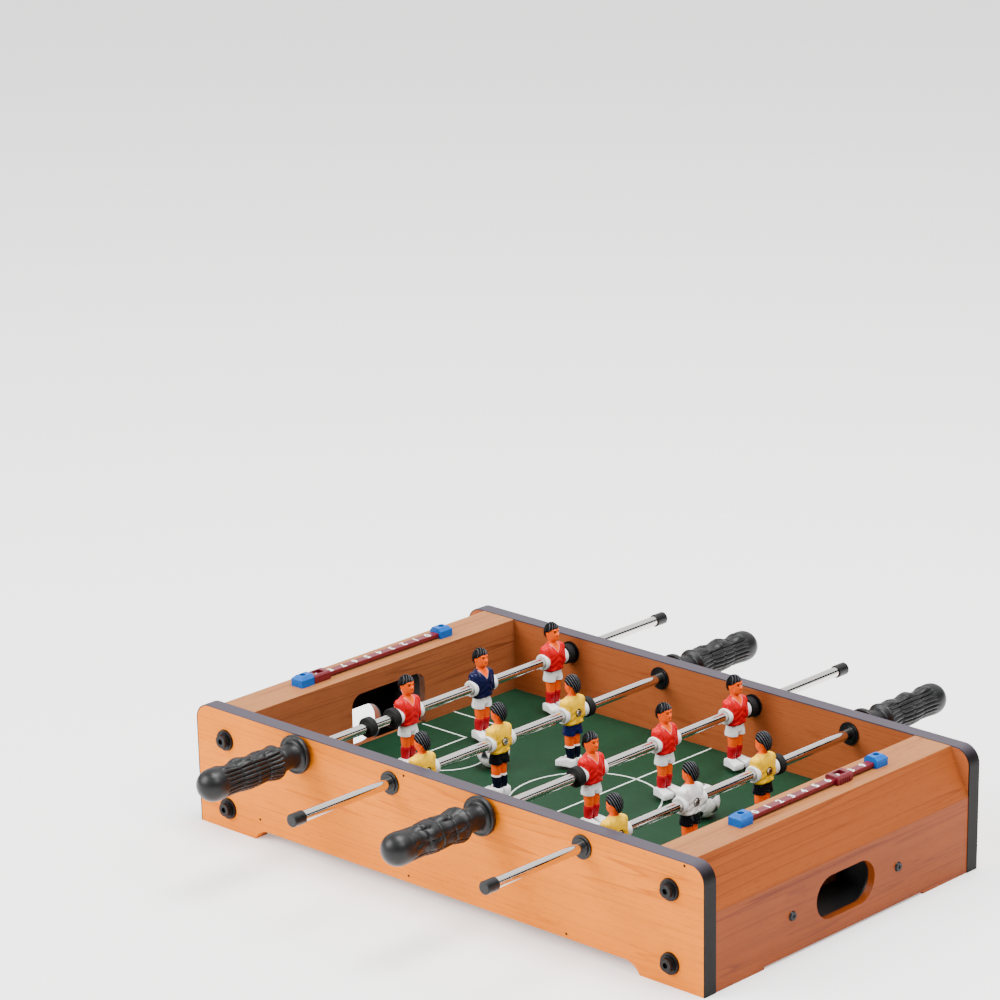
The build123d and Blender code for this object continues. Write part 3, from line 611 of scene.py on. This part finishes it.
def mixed(one, other, share):
    # the hex colour that lies the given share of the way from one to the other
    pairs = [(int(one[i:i + 2], 16), int(other[i:i + 2], 16)) for i in (1, 3, 5)]
    return "#" + "".join(f"{round(a + (b - a) * share):02X}" for a, b in pairs)


def figurePlastic(name, colour, extra=None, finish=figureGloss):
    # moulded polystyrene has a hard gloss with a slight waviness, and its colour goes a little darker here and
    # there
    material, tree, shader, point = startMaterial(name, finish)
    wave = noise(tree, point, 0.45, 2.0)
    darker = (*(value * 0.82 for value in hexColour(colour)[:3]), 1.0)
    tone = tint(tree, wave, colour, darker)
    if extra:
        own = addNode(tree, "ShaderNodeAttribute", {"attribute_name": "figureSpace"}).outputs["Vector"]
        tone = extra(tree, own, tone, mixed(colour, paint["trim"], 0.55))
    plug(tree, shader, {"Base Color": tone, "Normal": relief(tree, wave, 0.12, 0.4 * mm)})
    return material


paint = {
    "skin": "#FF5E0A", "trim": "#F2E6DC", "eye": "#4A2416", "lip": "#C8552C",
    # comb is a painted highlight on the hair's ridge crests
    "hole": "#1A1512", "comb": "#7A7C82",
    "neckSlope": 1.4, "neckTrim": 6.3, "neckSkin": 7.2, "holeMiddle": (0, 0.8, 0), "holeRadius": 3.25,
    "sockTrim": -27.4,
}
# painted marks: sideways and upward place, half width, half height, colour
paint["marks"] = (
    (2.0, 23.2, 0.75, 0.55, paint["eye"]),
    (2.0, 24.7, 1.3, 0.28, paint["eye"]),
    (0.0, 19.1, 1.3, 0.3, paint["lip"]),
)


def neckPaint(tree, own, tone, trim):
    # on the front a V of bare skin with a pale edge, open where height less neckSlope times |sideways|
    # is enough; on the back a dark disc of painted shade stands for the screw's hole
    x, y, z = split(tree, own)
    opening = calc(tree, "MULTIPLY_ADD", calc(tree, "ABSOLUTE", y), -paint["neckSlope"], z)
    front = calc(tree, "GREATER_THAN", x, 0.6)
    for limit, colour in ((paint["neckTrim"], trim), (paint["neckSkin"], paint["skin"])):
        shown = calc(tree, "MULTIPLY", calc(tree, "GREATER_THAN", opening, limit), front)
        tone = tint(tree, shown, tone, colour)
    flat = addNode(tree, "ShaderNodeCombineXYZ", {0: y, 1: z}).outputs[0]
    reach = addNode(tree, "ShaderNodeVectorMath", {
        "operation": "DISTANCE", 0: flat, 1: paint["holeMiddle"]}).outputs["Value"]
    # painted shade: the dark disc on the back stands for the screw's hole
    behind = calc(tree, "LESS_THAN", x, -3.0)
    hole = calc(tree, "MULTIPLY", calc(tree, "LESS_THAN", reach, paint["holeRadius"]), behind)
    return tint(tree, hole, tone, paint["hole"])


def facePaint(tree, own, tone, trim):
    # each mark is an ellipse in the face's own width and height, in front only
    x, y, z = split(tree, own)
    side, front = calc(tree, "ABSOLUTE", y), calc(tree, "GREATER_THAN", x, 2.5)
    for middleY, middleZ, width, height, colour in paint["marks"]:
        across = calc(tree, "MULTIPLY_ADD", side, 1 / width, -middleY / width)
        upward = calc(tree, "MULTIPLY_ADD", z, 1 / height, -middleZ / height)
        distance = calc(tree, "MULTIPLY_ADD", upward, upward, calc(tree, "POWER", across, 2))
        inside = calc(tree, "MULTIPLY", calc(tree, "LESS_THAN", distance, 1.0), front)
        tone = tint(tree, inside, tone, colour)
    return tone


def sockPaint(tree, own, tone, trim):
    # a pale band round the top of the dark socks
    return tint(tree, calc(tree, "GREATER_THAN", split(tree, own)[2], paint["sockTrim"]), tone, paint["trim"])


def combPaint(tree, own, tone, trim):
    # the crests of the combed ridges are painted grey, a painted highlight: the same slanted lines as the
    # ridges themselves
    slant = tuple(value / figure["ridgePitch"] for value in figure["comb"])
    lines = addNode(tree, "ShaderNodeVectorMath", {
        "operation": "DOT_PRODUCT", 0: own, 1: slant}).outputs["Value"]
    crest = calc(tree, "ABSOLUTE", calc(tree, "COSINE", calc(tree, "MULTIPLY", lines, math.pi)))
    return tint(tree, remap(tree, crest, 0.965, 0.998, 0.0, 0.85), tone, paint["comb"])


shirts = {
    "red": figurePlastic("moulded red shirt", "#D00016", neckPaint),
    "yellow": figurePlastic("moulded yellow shirt", "#FFC600", neckPaint),
    "white": figurePlastic("moulded white shirt", "#F4F3F1", neckPaint),
    "navy": figurePlastic("moulded navy shirt", "#11153A", neckPaint),
}
whitePlastic = figurePlastic("moulded white figure plastic", "#F0F1F0")
blackShorts = figurePlastic("sprayed black shorts", "#0C0E14")
navyShorts = figurePlastic("sprayed navy shorts", "#10184A")
skinPlastic = figurePlastic("moulded flesh plastic", paint["skin"], facePaint)
redSocks = figurePlastic("sprayed red socks", "#B41020")
darkSocks = figurePlastic("sprayed dark socks", "#0B0E20", sockPaint)
hairPaint = figurePlastic("sprayed black hair", "#050507", combPaint, gloss(0.34, 1.5, 0.06))
teams = {
    1: ("red", "navy", "red"),
    2: ("yellow", "yellow", "yellow"),
    3: ("red", "red", "red"),
    4: ("yellow", "white", "yellow"),
}
shells = figureShells()
for number, rod in rods.items():
    for spot in (1, 2, 3):
        node = f"rod_{number}_player_{spot}"
        low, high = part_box(node)
        middle = np.array([rod["x"], (low.y + high.y) / 2 / mm, rod["z"]])
        turn = np.array([rod["facing"], rod["facing"], 1])
        shirt = teams[number][spot - 1]
        red = number in (1, 3)
        shorts = whitePlastic if red else (navyShorts if number == 2 and spot == 3 else blackShorts)
        socks = redSocks if red else darkSocks
        player = makePiece(
            f"player_{number}_{spot}", shells,
            [shirts[shirt], shorts, skinPlastic, socks, whitePlastic, hairPaint],
            lambda points: middle + points * turn, "figureSpace", 50)
        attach(player, f"rod_{number}")
        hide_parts(node)
print("players done")


# balls: white moulded shell with sprayed dark patches and moulded seams
ball = {
    "rows": 120, "columns": 160, "seamDepth": 0.22, "seamWidth": 0.03, "seamGrey": 0.7,
    "smallPlane": 2.327, "largePlane": 2.267,   # from the middle to the panels' planes, for edges of length 1
    "rollAxis": (0.3, 1, 0.5),
}


def ballPattern(direction):
    # a football's 12 small and 20 large panels: a direction lies in the panel whose plane it meets first,
    # which is the panel with the greatest dot product over that plane's distance; near a tie is a seam
    g = (1 + 5**0.5) / 2
    small = np.array([(0, a, b * g) for a in (-1, 1) for b in (-1, 1)], float)
    small = np.vstack([np.roll(small, k, 1) for k in (0, 1, 2)])
    small /= np.linalg.norm(small, axis=1)[:, None]
    large = np.array([(a, b, c) for a in (-1, 1) for b in (-1, 1) for c in (-1, 1)], float)
    edge = np.array([(0, a / g, b * g) for a in (-1, 1) for b in (-1, 1)])
    large = np.vstack([large] + [np.roll(edge, k, 1) for k in (0, 1, 2)])
    large /= np.linalg.norm(large, axis=1)[:, None]
    planes = np.vstack([small / ball["smallPlane"], large / ball["largePlane"]])
    scores = direction @ planes.T * 2.3
    order = np.sort(scores, -1)
    return (scores.argmax(-1) < 12).astype(float), order[..., -1] - order[..., -2]


def ballPlastic():
    # moulded polystyrene, a little soiled; the mesh says where the sprayed patches and the greyer seams are
    finish = {"Roughness": 0.3, "IOR": 1.5}
    material, tree, shader, point = startMaterial("moulded white ball plastic", finish)
    panel = split(tree, addNode(tree, "ShaderNodeAttribute", {"attribute_name": "panel"}).outputs["Vector"])
    white = tint(tree, noise(tree, point, 0.5, 3.0), "#ECECEA", "#D8D9D8")
    patched = tint(tree, calc(tree, "GREATER_THAN", panel[0], 0.5), white, "#16181C")
    plug(tree, shader, {"Base Color": tint(tree, panel[1], patched, "#8C8E90")})
    return material


ballMaterial = ballPlastic()
for number in (1, 2):
    low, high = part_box(f"ball_{number}")
    middle, radius = np.array((low + high) / 2) / mm, (high.x - low.x) / 2 / mm
    tilt = np.linspace(0.004, np.pi - 0.004, ball["rows"])
    tilt, turn = np.meshgrid(tilt, around(ball["columns"]), indexing="ij")
    direction = np.stack([np.sin(tilt) * np.cos(turn), np.sin(tilt) * np.sin(turn), np.cos(tilt)], -1)
    rolled = direction @ np.array(Matrix.Rotation(0.6 + 1.1 * number, 3, Vector(ball["rollAxis"])))
    dark, gap = ballPattern(rolled)
    seam = np.clip(1 - gap / ball["seamWidth"], 0, 1)
    grid = middle + direction * (radius - ball["seamDepth"] * seam[..., None])
    piece = makePiece(f"football_{number}", [{"grid": grid}], [ballMaterial])
    values = np.stack([dark, ball["seamGrey"] * seam, 0 * dark], -1).reshape(-1, 3)
    values = np.vstack([values, values[:1], values[-1:]])
    addVectors(piece.data, "panel", values)
    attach(piece, f"ball_{number}")
    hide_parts(f"ball_{number}")
print("balls done")


# pitch markings: white ink, a film on the board
pitch = {
    "lineWidth": 1.35, "inkHeight": 0.06, "middleX": 5.5, "middleY": -3.0, "circleRadius": 58.0,
    "halfX": 203.5, "halfY": 142.8,
    "goalDepth": 155.7, "goalHalf": 38.7, "areaDepth": 124.5, "areaHalf": 74.9,
    "arcCentres": {-1: -142.3, 1: 153.5}, "arcRadius": 34.0, "overlap": 0.8,
}


def inkStrip(path):
    # a flat bar carried along a path: at each point it reaches half the line's width to either side
    path = np.array(path, float)
    along = np.gradient(path, axis=0)
    along /= np.linalg.norm(along, axis=1)[:, None]
    across = np.stack([-along[:, 1], along[:, 0]], -1) * pitch["lineWidth"] / 2
    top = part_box("playfield")[1].z / mm
    low, high = np.full(len(path), top + 0.01), np.full(len(path), top + pitch["inkHeight"])
    left, right = path + across, path - across
    corners = ((left, low), (right, low), (right, high), (left, high))
    return np.stack([np.column_stack(corner) for corner in corners], 1)


def arc(x, y, radius, start, end, count=60):
    a = np.radians(np.linspace(start, end, count))
    return np.stack([x + radius * np.cos(a), y + radius * np.sin(a)], -1)


strips = [inkStrip([(pitch["middleX"], -pitch["halfY"]), (pitch["middleX"], pitch["halfY"])])]
# the circle is two halves that meet end to end
for start in (0, 180):
    half = arc(pitch["middleX"], pitch["middleY"], pitch["circleRadius"], start, start + 180, 90)
    strips.append(inkStrip(half))
for end in (-1, 1):
    wall = end * pitch["halfX"]
    for depth, half in ((pitch["goalDepth"], pitch["goalHalf"]), (pitch["areaDepth"], pitch["areaHalf"])):
        x = -depth if end < 0 else depth + 2 * pitch["middleX"] + 0.2
        for side in (-1, 1):
            y = pitch["middleY"] + side * half
            strips.append(inkStrip([(wall, y), (x, y)]))
        reach = half + pitch["overlap"]
        strips.append(inkStrip([(x, pitch["middleY"] - reach), (x, pitch["middleY"] + reach)]))
    # the arc stands on the outer box's line
    centre = pitch["arcCentres"][end]
    opening = math.degrees(math.acos(abs(x - centre) / pitch["arcRadius"]))
    middle = 0 if end < 0 else 180
    curve = arc(centre, pitch["middleY"], pitch["arcRadius"], middle - opening, middle + opening, 50)
    strips.append(inkStrip(curve))
# screen ink: dense white that lets a little of the green through
ink = speckled("white screen ink", ("#E2E8E2", "#CDD6CE"), {"Roughness": 0.5, "IOR": 1.5}, 2.5)
markings = makePiece("pitch_markings", [{"grid": strip} for strip in strips], [ink], sharp=30)
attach(markings, "table")
print("pitch markings done")


# score digits: pad-printed on the rails
digits = {"height": 6.3, "pitch": 13.4, "first": -60.3, "thickness": 0.05, "bolder": 0.026}


def digitMesh(character):
    # the digit's outline filled and made a mesh, in mm, centred on its own middle
    curve = bpy.data.curves.new("digitOutline", "FONT")
    curve.body, curve.size, curve.extrude, curve.resolution_u = character, 1.0, 0.005, 5
    curve.offset = digits["bolder"]
    letter = addToScene("digitOutline", curve)
    bpy.context.view_layer.update()
    mesh = bpy.data.meshes.new_from_object(letter.evaluated_get(bpy.context.evaluated_depsgraph_get()))
    points = np.zeros(len(mesh.vertices) * 3, np.float32)
    mesh.vertices.foreach_get("co", points)
    points = points.reshape(-1, 3)
    faces = [list(face.vertices) for face in mesh.polygons]
    bpy.data.objects.remove(letter)
    bpy.data.curves.remove(curve)
    bpy.data.meshes.remove(mesh)
    middle = (points.max(0) + points.min(0)) / 2
    return (points - middle) / (points[:, 1].max() - points[:, 1].min()) * digits["height"], faces


outlines = [digitMesh(str(value)) for value in range(10)]
for end, name in ((-1, "left"), (1, "right")):
    low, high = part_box(f"{name}_score_rail")
    x, z = (low.x + high.x) / 2 / mm, high.z / mm
    points, faces, count = [], [], 0
    for value, (outline, loops) in enumerate(outlines):
        # on the right rail the digits' tops point to -X and they count up towards +Y;
        # the left rail is that turned half round
        px, py = -outline[:, 1], outline[:, 0] + digits["first"] + digits["pitch"] * value
        lift = z + digits["thickness"] / 2 + 0.01 + np.sign(outline[:, 2]) * digits["thickness"] / 2
        points.append(np.stack([x + end * px, end * py, lift], -1))
        faces += [[index + count for index in loop] for loop in loops]
        count += len(outline)
    mesh = bpy.data.meshes.new(f"{name}_digits")
    mesh.from_pydata(np.vstack(points) * mm, [], faces)
    mesh.materials.append(ink)
    mesh.update()
    numerals = addToScene(f"{name}_digits", mesh)
    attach(numerals, "table")
print("digits done")


# brads: pinned through the front panel's face, seen as small dark dimples
brads = {
    "places": ((-33.3, 92), (-188.7, 17.3), (-31, 14), (125.7, 12), (236.7, 94.0)),
    "radius": 1.1, "proud": 0.05,
}
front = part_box("front_panel")[0].y / mm
shells = []
for x, z in brads["places"]:
    # a shallow dome: its radius shrinks to the pole as it stands proud
    r, a = np.meshgrid(np.array([1.0, 1.0, 0.8, 0.4]) * brads["radius"], around(20), indexing="ij")
    y = front - np.array([-0.3, 0.2, 0.8, 1.0])[:, None] * brads["proud"] + 0 * a
    shells.append({"grid": np.stack([x + r * np.cos(a), y, z + r * np.sin(a)], -1)})
bradFinish = {"Roughness": 0.6, "Specular IOR Level": 0.1}
bradSteel = speckled("oxidised brad steel", ("#2A1008", "#160A06"), bradFinish, 0.8)
pins = makePiece("brad_heads", shells, [bradSteel])
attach(pins, "table")


# floor, lights and camera
studio = {
    "floor": "#F6F6F5",
    "floorGlow": 0.4,   # a lit sweep, so that the ground stays near white
    # sine of the elevation and brightness, towards -X and towards +X: a bright band low on one side
    # lights flat tops, dark bands on the other give bright metal its streaks
    "westSky": (
        (0.0, 0.6), (0.2, 0.6), (0.29, 1.0), (0.335, 5.2), (0.405, 5.2), (0.44, 2.4), (0.76, 2.6), (1.0, 1.4)),
    "eastSky": (
        (0.0, 0.05), (0.06, 0.05), (0.085, 3.4), (0.16, 3.4), (0.185, 0.02), (0.5, 0.02), (0.55, 2.4),
        (0.76, 2.6), (1.0, 1.4)),
    "brightest": 6,      # a curve's values stop at 1, so levels are divided by this and multiplied back
    "skyStrength": 0.6,
    "key": {"at": (-1.5, -2.3, 1.9), "size": 1.8, "power": 134},
    "top": {"at": (0.2, 0.3, 2.4), "size": 1.2, "power": 95},
    "side": {"at": (1.9, 0.0, 2.3), "size": 1.2, "power": 46},
}
view = {
    "azimuth": 41.618, "elevation": 21.878, "roll": -0.323,
    "distance": 2.97295, "across": 0.04795, "up": 0.01201,
    "lens": 141.52, "shiftX": -0.1462, "shiftY": 0.3277,
}
floorMesh = bpy.data.meshes.new("floor")
floorMesh.from_pydata([(-9, -9, 0), (9, -9, 0), (9, 9, 0), (-9, 9, 0)], [], [(0, 1, 2, 3)])
floor = addToScene("floor", floorMesh)
floorPaint = startMaterial("matt studio floor", {
    "Roughness": 0.9, "Base Color": hexColour(studio["floor"]),
    "Emission Color": (1, 1, 1, 1), "Emission Strength": studio["floorGlow"]})[0]
floorMesh.materials.append(floorPaint)
world = bpy.data.worlds.new("studio")
world.use_nodes = True
bpy.context.scene.world = world
sky = world.node_tree
toSky = split(sky, addNode(sky, "ShaderNodeTexCoord", {}).outputs["Generated"])
halves = []
for half in ("westSky", "eastSky"):
    bands = addNode(sky, "ShaderNodeFloatCurve", {"Value": toSky[2]})
    curve = bands.mapping.curves[0]
    levels = [(sine, level / studio["brightest"]) for sine, level in studio[half]]
    curve.points[0].location, curve.points[1].location = levels[0], levels[-1]
    for sine, level in levels[1:-1]:
        curve.points.new(sine, level)
    for point in curve.points:
        point.handle_type = "VECTOR"
    bands.mapping.update()
    halves.append(bands.outputs[0])
eastward = remap(sky, toSky[0], 0.25, 0.4)
joined = addNode(sky, "ShaderNodeMix", {0: eastward, 2: halves[0], 3: halves[1]}).outputs[0]
strength = calc(sky, "MULTIPLY", joined, studio["brightest"] * studio["skyStrength"])
sky.links.new(strength, sky.nodes["Background"].inputs["Strength"])
sky.nodes["Background"].inputs["Color"].default_value = (1, 1, 1, 1)
for name in ("key", "top", "side"):
    lamp = bpy.data.lights.new(name, "AREA")
    lamp.size, lamp.energy = studio[name]["size"], studio[name]["power"]
    lampObject = addToScene(name, lamp)
    lampObject.location = studio[name]["at"]
    toTable = Vector((0, 0, 0.05)) - Vector(studio[name]["at"])
    lampObject.rotation_euler = toTable.to_track_quat("-Z", "Y").to_euler()

azimuth, elevation, roll = (math.radians(view[key]) for key in ("azimuth", "elevation", "roll"))
level = math.cos(elevation)
back = Vector((math.sin(azimuth) * level, -math.cos(azimuth) * level, math.sin(elevation)))
right = Vector((0, 0, 1)).cross(back).normalized()
up = back.cross(right)
right, up = math.cos(roll) * right + math.sin(roll) * up, math.cos(roll) * up - math.sin(roll) * right
lens = bpy.data.cameras.new("view")
lens.sensor_width, lens.lens, lens.shift_x, lens.shift_y = 36, view["lens"], view["shiftX"], view["shiftY"]
lens.clip_end = 50
camera = addToScene("view", lens)
turned = Matrix((right, up, back)).transposed().to_4x4()
turned.translation = view["across"] * right + view["up"] * up + view["distance"] * back
camera.matrix_world = turned
bpy.context.scene.camera = camera
print("studio done")
